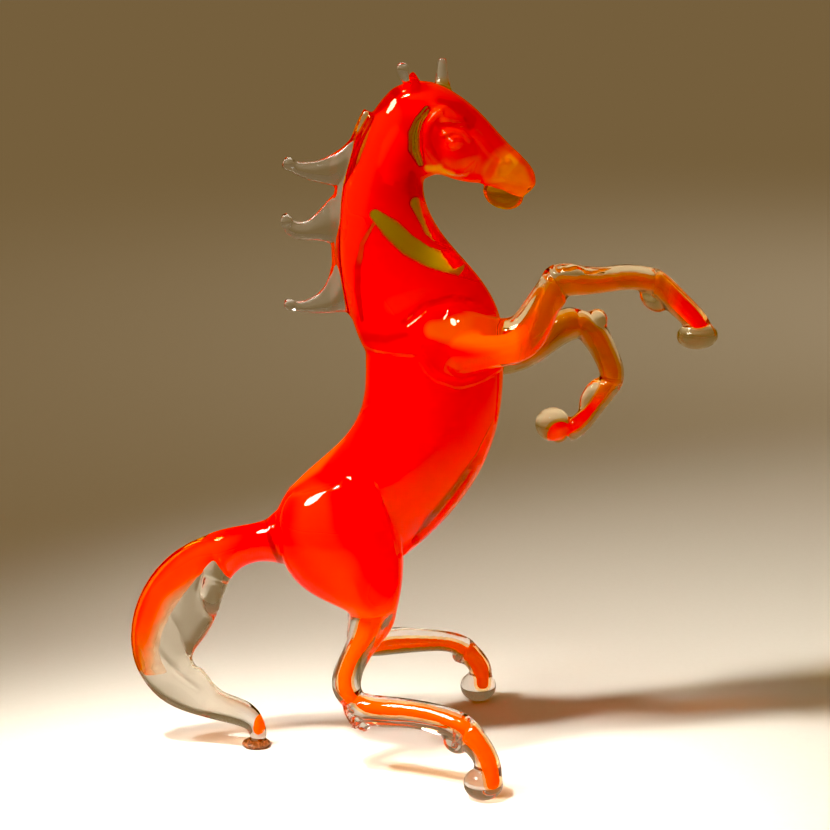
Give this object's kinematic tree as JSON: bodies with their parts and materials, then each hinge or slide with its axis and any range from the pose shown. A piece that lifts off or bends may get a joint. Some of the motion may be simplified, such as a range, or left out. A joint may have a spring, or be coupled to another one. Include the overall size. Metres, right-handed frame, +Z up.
{
  "type": "rearing horse figurine",
  "caption": "Rearing horse figurine in fused lampworked glass: a red cored body, clear cased legs, a curled mane and a plume tail. It stands on its hind hooves and tail tip.",
  "frame": {"origin": "on the surface it stands on, under the centre of its bounding box", "axes": "+X is the way the horse faces, +Y its left side, +Z up; Y is the shortest extent and Z the longest"},
  "size_m": [0.0969, 0.0564, 0.1163],
  "materials": {
    "red_core_glass": "polished",
    "red_cased_glass": "polished",
    "amber_glass": "polished",
    "clear_glass": "polished",
    "brown_glass": "polished"
  },
  "bodies": {
    "root": {"barrel_casing": "red_cased_glass", "barrel_core": "red_core_glass", "chin": "amber_glass", "head_casing": "amber_glass", "head_core": "red_core_glass", "left_cheek": "amber_glass", "left_ear": "clear_glass", "left_eye": "amber_glass", "left_fore_cannon_casing": "clear_glass", "left_fore_cannon_core": "red_core_glass", "left_fore_fetlock_web": "clear_glass", "left_fore_hoof": "clear_glass", "left_fore_pastern_casing": "clear_glass", "left_fore_pastern_core": "red_core_glass", "left_forearm_casing": "clear_glass", "left_forearm_core": "red_core_glass", "left_gaskin_casing": "clear_glass", "left_gaskin_core": "red_core_glass", "left_hind_cannon_casing": "clear_glass", "left_hind_cannon_core": "red_core_glass", "left_hind_fetlock_web": "clear_glass", "left_hind_hoof": "clear_glass", "left_hind_pastern_casing": "clear_glass", "left_hind_pastern_core": "red_core_glass", "left_knee_bead": "clear_glass", "left_thigh": "red_cased_glass", "mane_comb": "clear_glass", "mane_lock_lower": "clear_glass", "mane_lock_middle": "clear_glass", "mane_lock_upper": "clear_glass", "neck_casing": "red_cased_glass", "neck_core": "red_core_glass", "right_cheek": "amber_glass", "right_ear": "clear_glass", "right_eye": "amber_glass", "right_fore_cannon_casing": "clear_glass", "right_fore_cannon_core": "red_core_glass", "right_fore_fetlock_web": "clear_glass", "right_fore_hoof": "clear_glass", "right_fore_pastern_casing": "clear_glass", "right_fore_pastern_core": "red_core_glass", "right_forearm_casing": "clear_glass", "right_forearm_core": "red_core_glass", "right_gaskin_casing": "clear_glass", "right_gaskin_core": "red_core_glass", "right_hind_cannon_casing": "clear_glass", "right_hind_cannon_core": "red_core_glass", "right_hind_fetlock_web": "clear_glass", "right_hind_hoof": "clear_glass", "right_hind_pastern_casing": "clear_glass", "right_hind_pastern_core": "red_core_glass", "right_hock_spur": "clear_glass", "right_knee_bead": "clear_glass", "right_thigh": "red_cased_glass", "tail_dock_casing": "red_cased_glass", "tail_dock_core": "red_core_glass", "tail_foot": "brown_glass", "tail_plume_casing": "clear_glass", "tail_plume_core": "red_core_glass", "tail_tip_casing": "clear_glass"}
  },
  "joints": []
}
